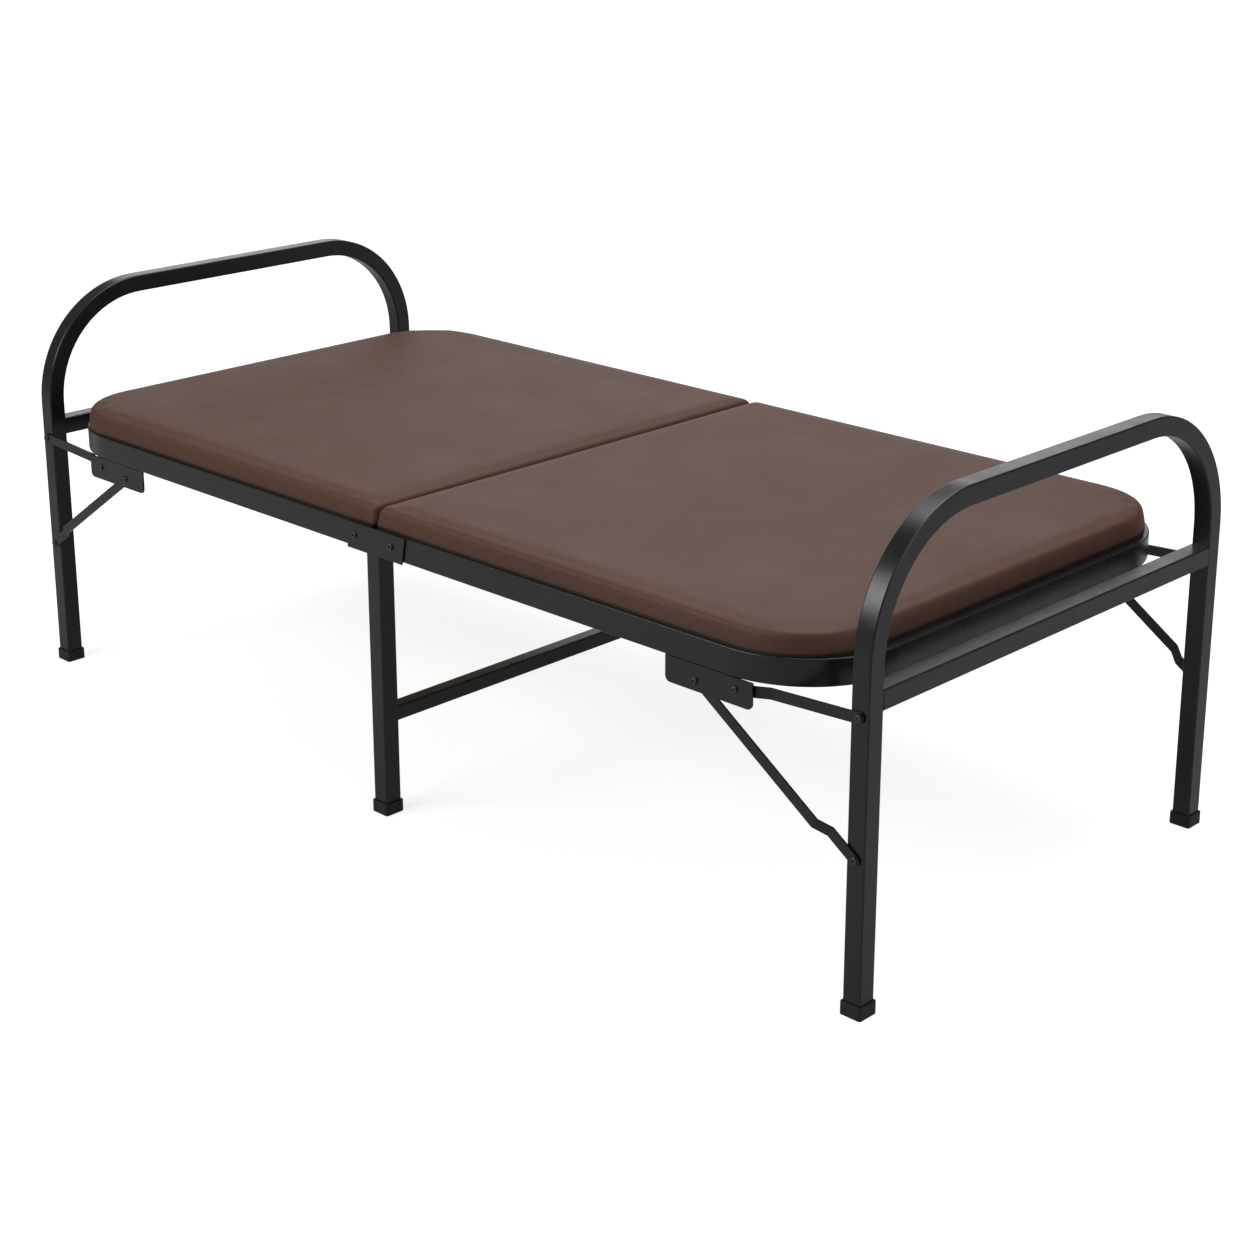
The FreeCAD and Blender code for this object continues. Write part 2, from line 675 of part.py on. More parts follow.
def loop():
    """The bent square tube that is an end rail and its two legs in one."""
    body = new_body("loop")
    side = "(dims.loop_width - dims.tube_size) / 2"
    crown = "dims.loop_height - dims.tube_size / 2"
    path = sketch_on(body, "loop_path", "YZ_Plane", LOOP_X)
    route = [
        (f"-{side}", "dims.cap_floor"),
        (f"-{side}", crown, "dims.loop_bend"),
        (side, crown, "dims.loop_bend"),
        (side, "dims.cap_floor"),
    ]
    trace(path, route, closed=False)
    section = sketch_on(body, "loop_section", "XY_Plane", "dims.cap_floor")
    tube_section(section, LOOP_X, f"-{side}", "dims.tube_size", "dims.tube_size", "dims.tube_round")
    pipe(body, section, path)
    for label, offset in (("right", LEG_FACE), ("left", f"-({LEG_FACE})")):
        holes = sketch_on(body, f"loop_holes_{label}", "XZ_Plane", offset)
        for z in ("dims.leg_upper_pivot_z", "dims.leg_lower_pivot_z"):
            circle(holes, LOOP_X, z, HOLE)
        pocket(body, holes, "dims.tube_wall * 4", midplane=True)
    return body


def build_deck():
    """Both halves of the deck: frame, cross tubes, board, foam, cover, brackets and fasteners."""
    keep_both_ends(deck_frame(), "deck_frame")
    span = "dims.deck_width - 2 * dims.rail_thick"
    for place in ("inner", "middle", "outer"):
        name = f"cross_{place}"
        tube = cross_tube(name, f"dims.{name}", RAIL_TOP, "dims.cross_size", span, "dims.rail_round")
        if place != "middle":
            with_screw_holes(tube, name, "dims.rail_height * 2")
        keep_both_ends(tube, f"cross_tube_{place}")
    board_top = f"{RAIL_TOP} + dims.board_thick"
    inner_top = f"{RAIL_TOP} + dims.pad_height - dims.cover_thick"
    fill = "dims.cover_thick + dims.cover_play"
    board = pad_block("board", fill, RAIL_TOP, board_top)
    keep_both_ends(with_screw_holes(board, "board", "dims.rail_height + dims.screw_bite"), "board")
    foam_top = f"{inner_top} - dims.cover_play"
    foam_edge = "dims.pad_edge - dims.cover_thick - dims.cover_play"
    keep_both_ends(pad_block("foam", fill, board_top, foam_top, foam_edge), "foam")
    skin = pad_block("cover_skin", "0", RAIL_TOP, f"{RAIL_TOP} + dims.pad_height", "dims.pad_edge")
    inner_edge = "dims.pad_edge - dims.cover_thick"
    hollow = pad_block("cover_hollow", "dims.cover_thick", RAIL_TOP, inner_top, inner_edge)
    cover = doc.addObject("Part::Cut", "cover")
    cover.Base = skin
    cover.Tool = hollow
    keep_both_ends(cover, "pad_cover")
    screws = [board_screw(f"board_screw_{i}", x, y) for i, (x, y) in enumerate(screw_positions(), start=1)]
    keep_both_ends(group("board_screw_group", screws), "board_screws")
    keep_four(bracket(), "link_bracket")
    lower = rivet("lower_rivet", "dims.lower_pivot_x", "dims.lower_pivot_z", RAIL_OUT, LOWER_TAIL_IN)
    collar = (f"{UPPER_LINK_OUT} + dims.link_play / 2", f"{RAIL_OUT} - dims.bracket_thick")
    upper = rivet("upper_rivet", "dims.upper_pivot_x", "dims.upper_pivot_z", RAIL_OUT, UPPER_TAIL_IN, collar)
    bracket_rivets = group("bracket_rivet_group", both_sides(lower) + both_sides(upper))
    keep_both_ends(bracket_rivets, "bracket_rivets")


def build_legs():
    """Both end loops with their cross bars, caps, links and rivets."""
    keep_both_ends(loop(), "loop")
    span = "dims.loop_width - 2 * dims.tube_size"
    bar = cross_tube("loop_bar", LOOP_X, "dims.bar_top", "dims.tube_size", span, "dims.tube_round")
    keep_both_ends(bar, "loop_cross_bar")
    keep_four(leg_cap("loop_cap", LOOP_X, LEG_Y), "leg_cap")
    upper_start = ("dims.upper_pivot_x", "dims.upper_pivot_z")
    upper_end = (LOOP_X, "dims.leg_upper_pivot_z")
    upper = stepped_link("upper_link", upper_start, upper_end, UPPER_LINK_IN, "dims.upper_step_at")
    keep_four(upper, "upper_link")
    lower_start = ("dims.lower_pivot_x", "dims.lower_pivot_z")
    lower_end = (LOOP_X, "dims.leg_lower_pivot_z")
    lower = stepped_link("lower_link", lower_start, lower_end, LOWER_LINK_IN, "dims.lower_step_at")
    keep_four(lower, "lower_link")
    face = f"{LEG_LINK_OUT} + dims.link_play"
    tail_in = f"{LEG_FACE} - dims.tube_wall - dims.tail_height"
    leg_rivet = rivet("leg_rivet", LOOP_X, "dims.leg_upper_pivot_z", face, tail_in)
    keep_both_ends(group("leg_rivet_group", both_sides(leg_rivet)), "leg_rivets")
    end_rivet = open_rivet("end_rivet", LOOP_X, "dims.leg_lower_pivot_z")
    keep_both_ends(group("end_rivet_group", both_sides(end_rivet)), "end_rivets")


def check_and_write():
    """Refuse to write anything unless every feature and every node came out sound."""
    doc.recompute()
    for thing in doc.Objects:
        if "Invalid" in thing.State or "Error" in thing.State:
            raise RuntimeError(f"{thing.Label} is {thing.State}")
    for piece in nodes:
        if piece.Shape.isNull() or not piece.Shape.isValid() or not piece.Shape.Solids:
            raise RuntimeError(f"{piece.Label} has no sound shape")
    os.makedirs("parts", exist_ok=True)
    for piece in nodes:
        piece.Shape.exportStep(f"parts/{piece.Label}.step")
    print(len(nodes), "nodes written")


build_stand()
build_deck()
build_legs()
check_and_write()
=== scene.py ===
"""The looks of the folding cot: the two padded covers, every material, the studio and the camera."""

import json
import math

import bmesh
import bpy
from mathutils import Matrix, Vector, noise


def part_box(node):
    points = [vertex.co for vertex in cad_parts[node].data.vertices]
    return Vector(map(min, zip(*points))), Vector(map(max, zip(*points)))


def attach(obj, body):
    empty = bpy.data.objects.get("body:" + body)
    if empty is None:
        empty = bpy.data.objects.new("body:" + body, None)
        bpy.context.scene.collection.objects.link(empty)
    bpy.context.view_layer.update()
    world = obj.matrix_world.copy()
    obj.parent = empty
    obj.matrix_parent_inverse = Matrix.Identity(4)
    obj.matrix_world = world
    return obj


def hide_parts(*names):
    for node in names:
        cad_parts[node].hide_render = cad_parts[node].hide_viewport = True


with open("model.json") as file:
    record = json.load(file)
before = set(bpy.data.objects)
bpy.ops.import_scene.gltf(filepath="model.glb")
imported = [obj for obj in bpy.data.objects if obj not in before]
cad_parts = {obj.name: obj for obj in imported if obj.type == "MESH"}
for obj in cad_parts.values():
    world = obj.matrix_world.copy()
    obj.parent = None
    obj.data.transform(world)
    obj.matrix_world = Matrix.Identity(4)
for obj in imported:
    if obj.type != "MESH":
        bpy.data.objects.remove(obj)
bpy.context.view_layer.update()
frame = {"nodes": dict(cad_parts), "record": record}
nodes = frame["nodes"]

# The padded covers, in metres. Each starts as a block a little smaller than the CAD cover.
VOXEL = 0.006  # grid that the block is remeshed on before it is blown up
ARC_STEPS = 14  # faces round each corner of the block
EDGE_STEPS = 6  # faces over its rounded top edge
LEAST_RADIUS = 0.0005  # of a corner, where the block's outline shrinks
PAD_SHRINK = 0.0008  # gap between the block's sides and the CAD cover's
PAD_EDGE = 0.0085  # radius of the top edge
HEM = 0.0004  # bevel of the bottom edge
PAD_PUFF = 0.0012  # most that the simulation moves a point sideways
PAD_LIFT = 0.0030  # and upwards
PAD_DROP = 0.001  # and downwards
TOP_SLACK = 0.0004  # how far the blown top may stand over the CAD cover's
HELD_BAND = 0.004  # height from the bottom that stays on the board
CLOTH_FRAMES = 20

# Radii of a pad's corners: small at the middle of the cot, large at its end. The order is
# anticlockwise from (low x, low y).
INNER_RADIUS = 0.006
OUTER_RADIUS = 0.135
FOOT_CORNERS = (INNER_RADIUS, OUTER_RADIUS, OUTER_RADIUS, INNER_RADIUS)
HEAD_CORNERS = (OUTER_RADIUS, INNER_RADIUS, INNER_RADIUS, OUTER_RADIUS)
CORNER_AT = {(False, False): 0, (True, False): 1, (True, True): 2, (False, True): 3}

# The cover's lower edge, in metres from the CAD cover's outline and bottom.
SKIRT = 0.0022  # how far the edge hangs below the bottom
LIP = 0.012  # width of the strip that turns under
WALL_DEPTH = 0.0095  # points nearer the outline than this are drawn out to it
WALL_HEIGHT = 0.022  # and lower than this
WALL_FADE = 0.015  # height over which that comes in
WALL_PROUD = 0.0003  # how far outside the outline they end
CORNER_PROUD = 0.0016  # and how much farther at a sharp corner
SHARP_RADIUS = 0.02  # corners under this radius are sharp
FACING_DOWN = -0.9  # normals under this belong to the underside
EDGE_HEIGHT = 0.003  # wall points under this make the edge itself
UNDER_HEIGHT = 0.002  # other points under this belong to the underside
BOARD_OVERLAP = 0.0008  # how far the underside ends inside the board

# The foam top's rise and fall: layer of the noise, its scale, and its height in metres.
SWELL = (3.1, 5.0, 0.0006)
RIPPLE = (8.7, 17, 0.00022)
PULL = (1.9, 26, 0.00035)
PULL_RISE = 14  # scale of the sides' pulls up the pad
TOP_BAND = 0.014  # the top begins this far under the pad's highest point
TOP_FADE = 0.012  # height over which it takes over from the sides
INSIDE_FADE = 0.10  # distance from the edge over which the rise and fall come in
EDGE_DIP = 0.0006  # how far the top falls at its edge

# The painted shade that the material puts where a cover turns under: a dark band along its lower edge.
TUCK_SHADE_HEIGHT = 0.0035  # the painted shade is full up to here, from the CAD cover's bottom
TUCK_SHADE_FADE = 0.003  # and fades over this height
TUCK_SHADE_SHARE = 0.15  # share of the colour that it leaves


# ---------------------------------------------------------------- materials


class Shader:
    """Builds one procedural material."""

    def __init__(self, name, **constants):
        self.material = bpy.data.materials.new(name)
        self.material.use_nodes = True
        self.tree = self.material.node_tree
        self.surface = self.tree.nodes["Principled BSDF"]
        for socket, value in constants.items():
            self.surface.inputs[socket.replace("_", " ")].default_value = value
        self.coords = self.tree.nodes.new("ShaderNodeTexCoord").outputs["Object"]
        self.height = None

    def link(self, source, target):
        self.tree.links.new(source, target)

    def noise(self, scale, detail, roughness, distortion=0.0, stretch=None):
        node = self.tree.nodes.new("ShaderNodeTexNoise")
        node.inputs["Scale"].default_value = scale
        node.inputs["Detail"].default_value = detail
        node.inputs["Roughness"].default_value = roughness
        node.inputs["Distortion"].default_value = distortion
        self.link(self.mapped(stretch), node.inputs["Vector"])
        return node.outputs["Fac"]

    def mapped(self, stretch):
        if stretch is None:
            return self.coords
        node = self.tree.nodes.new("ShaderNodeMapping")
        node.inputs["Scale"].default_value = stretch
        self.link(self.coords, node.inputs["Vector"])
        return node.outputs["Vector"]

    def cells(self, scale, feature, randomness, warp=0.0):
        node = self.tree.nodes.new("ShaderNodeTexVoronoi")
        node.feature = feature
        node.inputs["Scale"].default_value = scale
        node.inputs["Randomness"].default_value = randomness
        vector = self.coords
        if warp:
            vector = self.warped(vector, scale * 0.6, warp)
        self.link(vector, node.inputs["Vector"])
        return node.outputs["Distance"]

    def warped(self, vector, scale, amount):
        """Coordinates pushed about by a noise, so that cells and lines lose their regularity."""
        wobble = self.tree.nodes.new("ShaderNodeTexNoise")
        wobble.inputs["Scale"].default_value = scale
        self.link(vector, wobble.inputs["Vector"])
        push = self.tree.nodes.new("ShaderNodeVectorMath")
        push.operation = "MULTIPLY_ADD"
        push.inputs[1].default_value = (amount, amount, amount)
        self.link(wobble.outputs["Color"], push.inputs[0])
        self.link(vector, push.inputs[2])
        return push.outputs["Vector"]

    def ramp(self, value, *stops):
        """Stops are (position, value or colour)."""
        node = self.tree.nodes.new("ShaderNodeValToRGB")
        elements = node.color_ramp.elements
        while len(elements) < len(stops):
            elements.new(0.5)
        for element, (position, shade) in zip(elements, stops):
            element.position = position
            element.color = (*shade, 1) if isinstance(shade, tuple) else (shade, shade, shade, 1)
        self.link(value, node.inputs["Fac"])
        return node.outputs["Color"]

    def crease_and_tuck_shade(self, bottom):
        """Painted shade: dark where a cover turns under at its lower edge, and 1 above that."""
        split = self.tree.nodes.new("ShaderNodeSeparateXYZ")
        self.link(self.coords, split.inputs[0])
        node = self.tree.nodes.new("ShaderNodeMapRange")
        node.inputs["From Min"].default_value = bottom + TUCK_SHADE_HEIGHT
        node.inputs["From Max"].default_value = bottom + TUCK_SHADE_HEIGHT + TUCK_SHADE_FADE
        node.inputs["To Min"].default_value = TUCK_SHADE_SHARE
        self.link(split.outputs["Z"], node.inputs["Value"])
        return node.outputs["Result"]

    def blend(self, factor, first, second, mode="MIX"):
        """Two colours mixed. The socket numbers are the mix node's factor, first and second colour."""
        node = self.tree.nodes.new("ShaderNodeMix")
        node.data_type = "RGBA"
        node.blend_type = mode
        for source, target in ((factor, 0), (first, 6), (second, 7)):
            if isinstance(source, (int, float)):
                node.inputs[target].default_value = source
            else:
                self.link(source, node.inputs[target])
        return node.outputs[2]

    def color(self, source):
        self.link(source, self.surface.inputs["Base Color"])

    def roughness(self, source):
        self.link(source, self.surface.inputs["Roughness"])

    def bump(self, height, distance, strength):
        """Adds a layer of relief on top of the earlier ones."""
        node = self.tree.nodes.new("ShaderNodeBump")
        node.inputs["Strength"].default_value = strength
        node.inputs["Distance"].default_value = distance
        self.link(height, node.inputs["Height"])
        if self.height:
            self.link(self.height, node.inputs["Normal"])
        self.height = node.outputs["Normal"]
        self.link(self.height, self.surface.inputs["Normal"])


def black_paint():
    """Satin powder coat on steel tube: a fine orange peel, soft mottling and a few rubbed specks."""
    s = Shader("satin_black_paint", IOR=1.5, Specular_IOR_Level=0.32)
    mottle = s.noise(9, 4, 0.6)
    shade = s.ramp(mottle, (0.3, (0.0030, 0.0030, 0.0032)), (0.7, (0.0048, 0.0047, 0.0048)))
    specks = s.ramp(s.noise(260, 5, 0.75), (0.68, 0.0), (0.76, 1.0))
    worn = s.ramp(s.noise(14, 3, 0.6), (0.52, 0.0), (0.68, 0.55))
    rub = s.blend(1.0, specks, worn, "MULTIPLY")
    tone = s.ramp(rub, (0.0, (0.0, 0.0, 0.0)), (1.0, (0.022, 0.0215, 0.021)))
    s.color(s.blend(1.0, shade, tone, "ADD"))
    s.roughness(s.ramp(s.noise(22, 5, 0.65), (0.25, 0.24), (0.75, 0.36)))
    s.bump(s.noise(620, 2, 0.5), 0.00022, 0.35)
    s.bump(s.noise(60, 2, 0.5), 0.0004, 0.2)
    return s.material


def black_steel():
    """Oil-blacked fasteners: more metallic than the tubes, with patches worn lighter."""
    s = Shader("blackened_steel", Metallic=0.55)
    shade = s.ramp(s.noise(180, 4, 0.7), (0.35, (0.020, 0.020, 0.021)), (0.72, (0.050, 0.049, 0.048)))
    s.color(shade)
    s.roughness(s.ramp(s.noise(90, 4, 0.6), (0.3, 0.24), (0.7, 0.40)))
    s.bump(s.noise(1400, 2, 0.5), 0.00012, 0.4)
    return s.material


def black_plastic():
    """Moulded foot caps: a fine spark-eroded grain and slow changes of tone."""
    s = Shader("moulded_black_plastic", IOR=1.46, Specular_IOR_Level=0.25)
    grain = s.noise(1900, 3, 0.6)
    shade = s.ramp(s.noise(45, 4, 0.6), (0.3, (0.0065, 0.0065, 0.0068)), (0.75, (0.012, 0.012, 0.012)))
    s.color(shade)
    s.roughness(s.ramp(grain, (0.3, 0.48), (0.7, 0.62)))
    s.bump(grain, 0.00025, 0.5)
    return s.material


def leatherette():
    """Brown leatherette: pebbled grain with fine creases, a faint sheen, slow changes of tone and painted
    shade along the lower edge.
    """
    s = Shader(
        "brown_leatherette",
        IOR=1.5,
        Specular_IOR_Level=0.24,
        Sheen_Weight=0.015,
        Sheen_Roughness=0.45,
    )
    s.surface.inputs["Sheen Tint"].default_value = (0.95, 0.88, 0.84, 1)
    tone = s.ramp(s.noise(3.2, 4, 0.55), (0.28, (0.048, 0.0168, 0.0100)), (0.74, (0.057, 0.0208, 0.0130)))
    grain_scale = 620
    pebble = s.cells(grain_scale, "F1", 0.95, warp=0.0011)
    crease_and_tuck_shade = s.cells(grain_scale, "DISTANCE_TO_EDGE", 0.95, warp=0.0011)
    valley = s.ramp(crease_and_tuck_shade, (0.0, 0.80), (0.16, 1.0))
    grained = s.blend(1.0, tone, valley, "MULTIPLY")
    # painted shade: the colour is darkened along the cover's lower edge, where it turns under
    s.color(s.blend(1.0, grained, s.crease_and_tuck_shade(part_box("foot_pad_cover")[0].z), "MULTIPLY"))
    dull = s.ramp(s.noise(7, 4, 0.6), (0.3, 0.50), (0.75, 0.62))
    s.roughness(s.blend(0.35, dull, s.ramp(pebble, (0.0, 0.42), (0.7, 0.72))))
    s.bump(s.noise(22, 3, 0.5), 0.0012, 0.22)
    s.bump(crease_and_tuck_shade, 0.0005, 0.40)
    s.bump(s.noise(2600, 2, 0.5), 0.0001, 0.25)
    return s.material


def plywood():
    """The board: long pale grain with darker streaks."""
    s = Shader("plywood_board")
    streaks = s.noise(26, 6, 0.65, 0.6, stretch=(0.35, 6.0, 6.0))
    fine = s.noise(160, 4, 0.6, 0.2, stretch=(0.3, 9.0, 9.0))
    dark = (0.33, 0.19, 0.095)
    middle = (0.50, 0.33, 0.18)
    pale = (0.60, 0.42, 0.26)
    base = s.ramp(streaks, (0.25, dark), (0.55, middle), (0.8, pale))
    s.color(s.blend(0.3, base, s.ramp(fine, (0.3, (0.28, 0.17, 0.09)), (0.7, (0.62, 0.45, 0.29)))))
    s.roughness(s.ramp(fine, (0.3, 0.6), (0.7, 0.8)))
    s.bump(fine, 0.0004, 0.4)
    return s.material


def foam():
    """Open-cell foam. The covers replace it, so it isn't seen."""
    s = Shader("open_cell_foam")
    cells = s.cells(900, "F1", 1.0)
    s.color(s.ramp(cells, (0.0, (0.55, 0.47, 0.30)), (0.6, (0.78, 0.71, 0.52))))
    s.roughness(s.ramp(cells, (0.0, 0.85), (1.0, 1.0)))
    s.bump(cells, 0.0006, 0.6)
    return s.material


def zinc():
    """Bright zinc on the board screws."""
    s = Shader("zinc_plate", Metallic=1.0)
    s.color(s.ramp(s.noise(300, 3, 0.6), (0.3, (0.47, 0.47, 0.46)), (0.7, (0.62, 0.62, 0.60))))
    s.roughness(s.ramp(s.noise(150, 4, 0.6), (0.3, 0.28), (0.7, 0.45)))
    s.bump(s.noise(900, 2, 0.5), 0.0001, 0.3)
    return s.material


LOOKS = {
    "black_paint": black_paint(),
    "black_fastener": black_steel(),
    "black_plastic": black_plastic(),
    "leatherette": leatherette(),
    "plywood": plywood(),
    "foam": foam(),
    "zinc_screw": zinc(),
}


def dress(obj, material):
    obj.data.materials.clear()
    obj.data.materials.append(material)


for part in frame["record"]["subparts"]:
    dress(nodes[part["node"]], LOOKS[part["material_slot"]])


# ---------------------------------------------------------------- padded covers


def outline(low, high, corners):
    """A rounded rectangle, anticlockwise, with a radius for each corner from (low x, low y)."""
    spots = ((low.x, low.y, 180), (high.x, low.y, 270), (high.x, high.y, 0), (low.x, high.y, 90))
    points = []
    for (x, y, start), radius in zip(spots, corners):
        centre_x = x + math.copysign(radius, (low.x + high.x) / 2 - x)
        centre_y = y + math.copysign(radius, (low.y + high.y) / 2 - y)
        for k in range(ARC_STEPS + 1):
            angle = math.radians(start + 90 * k / ARC_STEPS)
            points.append((centre_x + radius * math.cos(angle), centre_y + radius * math.sin(angle)))
    return points


def offset_outline(low, high, corners, inset):
    shift = Vector((inset, inset, 0))
    return outline(low + shift, high - shift, [max(c - inset, LEAST_RADIUS) for c in corners])


def padded_block(name, low, high, corners):
    """A closed block with a rounded top edge and a small bevel at the bottom, before it is blown up."""
    rings = [(HEM, low.z), (0.0, low.z + HEM)]
    for k in range(EDGE_STEPS + 1):
        angle = math.radians(90 * k / EDGE_STEPS)
        rings.append((PAD_EDGE * (1 - math.cos(angle)), high.z - PAD_EDGE * (1 - math.sin(angle))))
    mesh = bmesh.new()
    loops = []
    for inset, z in rings:
        loops.append([mesh.verts.new((x, y, z)) for x, y in offset_outline(low, high, corners, inset)])
    for below, above in zip(loops, loops[1:]):
        for i in range(len(below)):
            j = (i + 1) % len(below)
            mesh.faces.new((below[i], below[j], above[j], above[i]))
    mesh.faces.new(reversed(loops[0]))
    mesh.faces.new(loops[-1])
    data = bpy.data.meshes.new(name)
    mesh.to_mesh(data)
    mesh.free()
    obj = bpy.data.objects.new(name, data)
    bpy.context.scene.collection.objects.link(obj)
    return obj


def apply_modifier(obj, name):
    with bpy.context.temp_override(object=obj, active_object=obj):
        bpy.ops.object.modifier_apply(modifier=name)


def remesh(obj, size):
    modifier = obj.modifiers.new("remesh", "REMESH")
    modifier.mode = "VOXEL"
    modifier.voxel_size = size
    modifier.use_smooth_shade = True
    apply_modifier(obj, modifier.name)


def depth_inside(x, y, low, high, corners):
    """How deep a point lies in a rounded rectangle, the way out, and the radius of the nearest corner."""
    middle_x = (low.x + high.x) / 2
    middle_y = (low.y + high.y) / 2
    right = x > middle_x
    left = y > middle_y
    radius = corners[CORNER_AT[right, left]]
    along = abs(x - middle_x) - (high.x - low.x) / 2 + radius
    across = abs(y - middle_y) - (high.y - low.y) / 2 + radius
    if along > 0 and across > 0:
        reach = math.hypot(along, across)
        way = Vector((along / reach, across / reach, 0))
    elif along > across:
        reach = along
        way = Vector((1, 0, 0))
    else:
        reach = across
        way = Vector((0, 1, 0))
    way.x = math.copysign(way.x, 1 if right else -1)
    way.y = math.copysign(way.y, 1 if left else -1)
    return radius - reach, way, radius


def tuck_bottom(obj, low, high, corners):
    """Draw the cover's lower edge tight round the board. A narrow lip turns under it, and the rest of the
    underside slopes up into the board."""
    facing = [vertex.normal.z for vertex in obj.data.vertices]
    for vertex, up in zip(obj.data.vertices, facing):
        x, y, z = vertex.co
        depth, way, radius = depth_inside(x, y, low, high, corners)
        if up > FACING_DOWN and depth < WALL_DEPTH and z < low.z + WALL_HEIGHT:
            tight = min(1.0, (low.z + WALL_HEIGHT - z) / WALL_FADE)
            sharp_corner = 2 * abs(way.x * way.y) if radius < SHARP_RADIUS else 0.0
            vertex.co += way * (depth + WALL_PROUD + CORNER_PROUD * sharp_corner) * tight
            if z < low.z + EDGE_HEIGHT:
                vertex.co.z = low.z - SKIRT
        elif z < low.z + UNDER_HEIGHT:
            under = max(0.0, min(1.0, depth / LIP))
            vertex.co.z = low.z - SKIRT + under * (SKIRT + BOARD_OVERLAP)


def inflate(obj, floor_z):
    """Blow the cover up like stretched cloth over foam. Its underside stays on the board."""
    rest = [v.co.copy() for v in obj.data.vertices]
    held = obj.vertex_groups.new(name="held")
    for i, point in enumerate(rest):
        if point.z < floor_z + HELD_BAND:
            held.add([i], 1.0, "REPLACE")
    cloth = obj.modifiers.new("cloth", "CLOTH")
    settings = cloth.settings
    settings.quality = 5
    settings.mass = 0.3
    settings.tension_stiffness = 25
    settings.compression_stiffness = 12
    settings.shear_stiffness = 8
    settings.bending_stiffness = 1.5
    settings.use_pressure = True
    settings.uniform_pressure_force = 4
    settings.vertex_group_mass = "held"
    settings.effector_weights.gravity = 0
    cloth.collision_settings.use_collision = False
    cloth.point_cache.frame_start = 1
    cloth.point_cache.frame_end = CLOTH_FRAMES
    scene = bpy.context.scene
    for step in range(1, CLOTH_FRAMES + 1):
        scene.frame_set(step)
    apply_modifier(obj, cloth.name)
    scene.frame_set(1)
    for vertex, start in zip(obj.data.vertices, rest):
        move = vertex.co - start
        flat = Vector((move.x, move.y, 0))
        if flat.length > PAD_PUFF:
            flat = flat.normalized() * PAD_PUFF
        vertex.co = start + flat + Vector((0, 0, max(-PAD_DROP, min(PAD_LIFT, move.z))))


def waver(x, y, layer, scale, height):
    return noise.noise(Vector((x * scale, y * scale, layer))) * height


def settle(obj, low, high):
    """The slow rise and fall of a foam top under a stretched cover, and faint pulls at its edge."""
    pull_layer, pull_scale, pull_height = PULL
    for vertex in obj.data.vertices:
        x, y, z = vertex.co
        up = max(0.0, min(1.0, (z - (high.z - TOP_BAND)) / TOP_FADE))
        edge = min(x - low.x, high.x - x, y - low.y, high.y - y)
        inside = max(0.0, min(1.0, edge / INSIDE_FADE))
        swell = waver(x, y, *SWELL)
        ripple = waver(x, y, *RIPPLE)
        pull = waver(x, y, z * PULL_RISE + pull_layer, pull_scale, pull_height)
        out = Vector((x - (low.x + high.x) / 2, y, 0)).normalized()
        vertex.co.z = z + up * ((swell + ripple) * inside - EDGE_DIP * (1 - inside))
        vertex.co += out * pull * (1.0 - up)


def blown_pad():
    """The foot half's cover, blown up once. The head half starts as its mirror image."""
    low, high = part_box("foot_pad_cover")
    sink = Vector((PAD_SHRINK, PAD_SHRINK, 0))
    block_low = Vector((low.x, low.y, low.z - SKIRT)) + sink
    block_high = Vector((high.x, high.y, high.z - PAD_LIFT + TOP_SLACK)) - sink
    pad = padded_block("foot_pad", block_low, block_high, FOOT_CORNERS)
    remesh(pad, VOXEL)
    inflate(pad, block_low.z)
    smooth = pad.modifiers.new("smooth", "CORRECTIVE_SMOOTH")
    smooth.iterations = 4
    smooth.use_only_smooth = True
    smooth.factor = 0.5
    apply_modifier(pad, smooth.name)
    return pad


def mirror_copy(obj, name):
    data = obj.data.copy()
    for vertex in data.vertices:
        vertex.co.x = -vertex.co.x
    data.flip_normals()
    copy = bpy.data.objects.new(name, data)
    bpy.context.scene.collection.objects.link(copy)
    return copy


def finish_pad(pad, end, corners):
    """Shape a blown pad for its own half, dress it, and put it in place of the CAD cover and foam."""
    node = f"{end}_pad_cover"
    low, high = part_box(node)
    settle(pad, low, high)
    tuck_bottom(pad, low, high, corners)
    finer = pad.modifiers.new("finer", "SUBSURF")
    finer.levels = 1
    finer.render_levels = 1
    apply_modifier(pad, finer.name)
    for polygon in pad.data.polygons:
        polygon.use_smooth = True
    dress(pad, LOOKS["leatherette"])
    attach(pad, f"{end}_deck")
    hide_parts(node, f"{end}_foam")


foot_pad = blown_pad()
head_pad = mirror_copy(foot_pad, "head_pad")
finish_pad(foot_pad, "foot", FOOT_CORNERS)
finish_pad(head_pad, "head", HEAD_CORNERS)


# ---------------------------------------------------------------- studio


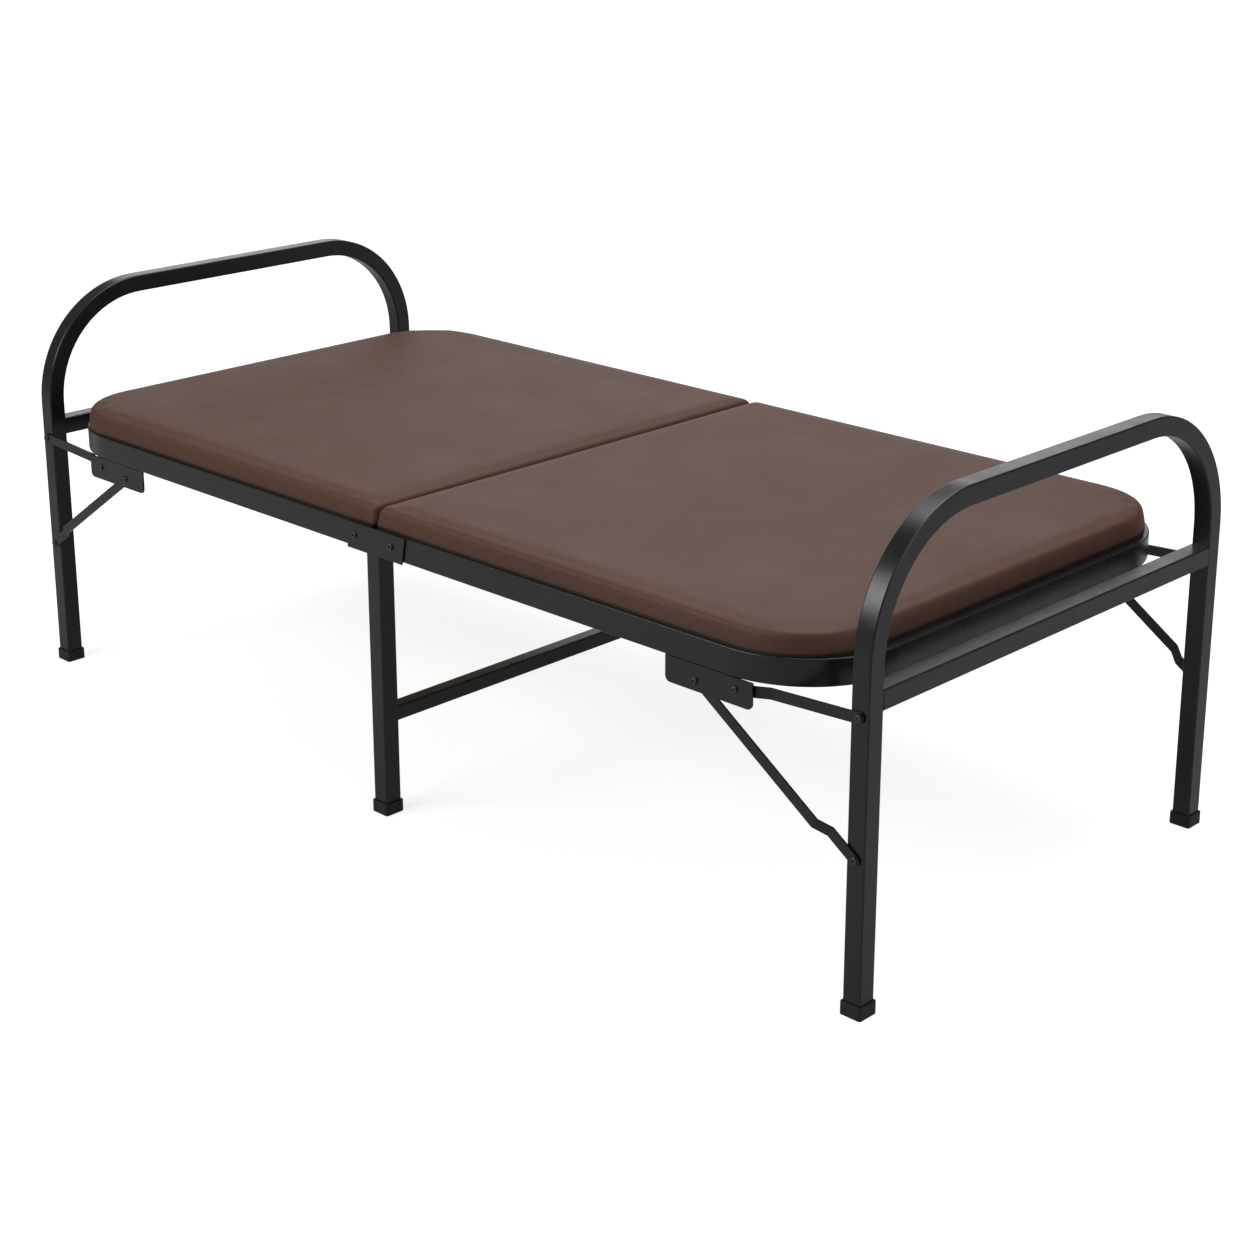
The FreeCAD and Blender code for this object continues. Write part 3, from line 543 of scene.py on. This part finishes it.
def floor():
    """A flat floor that glows: nearly white to the camera, a little greyer under the cot, where its glow
    is turned down as painted shade, and dim as a light.
    """
    data = bpy.data.meshes.new("floor")
    reach_out = 30
    spots = [(x * reach_out, y * reach_out, 0) for x, y in ((-1, -1), (1, -1), (1, 1), (-1, 1))]
    data.from_pydata(spots, [], [(0, 1, 2, 3)])
    obj = bpy.data.objects.new("floor", data)
    bpy.context.scene.collection.objects.link(obj)
    s = Shader("studio_floor", Specular_IOR_Level=0.1, Roughness=0.9)
    s.surface.inputs["Base Color"].default_value = (0.3, 0.3, 0.3, 1)
    s.surface.inputs["Emission Color"].default_value = (1, 1, 1, 1)
    distance = s.tree.nodes.new("ShaderNodeVectorMath")
    distance.operation = "LENGTH"
    s.link(s.coords, distance.inputs[0])
    # painted shade: the glow is weaker near the middle, under the cot, and stronger farther out
    glow_with_painted_shade = s.tree.nodes.new("ShaderNodeMapRange")
    for socket, value in (("From Min", 0.5), ("From Max", 3.2), ("To Min", 0.78), ("To Max", 0.96)):
        glow_with_painted_shade.inputs[socket].default_value = value
    s.link(distance.outputs["Value"], glow_with_painted_shade.inputs["Value"])
    share_as_light = 0.3
    seen = s.tree.nodes.new("ShaderNodeMapRange")
    seen.inputs["To Min"].default_value = share_as_light
    s.link(s.tree.nodes.new("ShaderNodeLightPath").outputs["Is Camera Ray"], seen.inputs["Value"])
    strength = s.tree.nodes.new("ShaderNodeMath")
    strength.operation = "MULTIPLY"
    s.link(glow_with_painted_shade.outputs["Result"], strength.inputs[0])
    s.link(seen.outputs["Result"], strength.inputs[1])
    s.link(strength.outputs["Value"], s.surface.inputs["Emission Strength"])
    dress(obj, s.material)


def softbox(name, place, target, width, height, power):
    """A rectangular lamp, in metres and watts, that the camera doesn't see."""
    data = bpy.data.lights.new(name, "AREA")
    data.shape = "RECTANGLE"
    data.size = width
    data.size_y = height
    data.energy = power
    obj = bpy.data.objects.new(name, data)
    obj.location = place
    obj.rotation_euler = (Vector(target) - Vector(place)).to_track_quat("-Z", "Y").to_euler()
    obj.visible_camera = False
    bpy.context.scene.collection.objects.link(obj)


def backdrop():
    """A white surround that lights the cot dimly, so that its dark steel stays dark."""
    world = bpy.data.worlds.new("studio")
    world.use_nodes = True
    tree = world.node_tree
    dim = tree.nodes["Background"]
    dim.inputs["Strength"].default_value = 0.25
    white = tree.nodes.new("ShaderNodeBackground")
    for light in (dim, white):
        light.inputs["Color"].default_value = (1, 1, 1, 1)
    seen = tree.nodes.new("ShaderNodeLightPath").outputs["Is Camera Ray"]
    mix = tree.nodes.new("ShaderNodeMixShader")
    tree.links.new(seen, mix.inputs[0])
    tree.links.new(dim.outputs[0], mix.inputs[1])
    tree.links.new(white.outputs[0], mix.inputs[2])
    tree.links.new(mix.outputs[0], tree.nodes["World Output"].inputs["Surface"])
    bpy.context.scene.world = world


def studio():
    floor()
    backdrop()
    softbox("overhead", (0.3, 0.6, 3.6), (0, 0, 0.4), 3.2, 2.2, 130)
    softbox("front", (-0.8, -3.2, 2.3), (0, 0, 0.35), 2.6, 1.4, 120)
    softbox("back", (-4.6, 4.8, 2.6), (0, 0, 0.45), 6.0, 2.6, 70)
    softbox("end", (2.9, 0.2, 1.3), (0.9, 0, 0.4), 1.2, 1.0, 20)
    bpy.context.scene.view_settings.view_transform = "Standard"


def camera():
    """The photograph's view, from a perspective fit. The vertical shift keeps the legs nearly upright."""
    data = bpy.data.cameras.new("camera")
    data.lens = 67.113
    data.shift_y = -0.12
    data.sensor_width = 36
    data.clip_end = 60
    obj = bpy.data.objects.new("camera", data)
    obj.location = (2.6443, -2.6178, 1.5922)
    azimuth = math.radians(44.072)
    elevation = math.radians(16.911)
    level = math.cos(elevation)
    look = Vector((-level * math.sin(azimuth), level * math.cos(azimuth), -math.sin(elevation)))
    obj.rotation_euler = look.to_track_quat("-Z", "Y").to_euler()
    bpy.context.scene.collection.objects.link(obj)
    bpy.context.scene.camera = obj


studio()
camera()
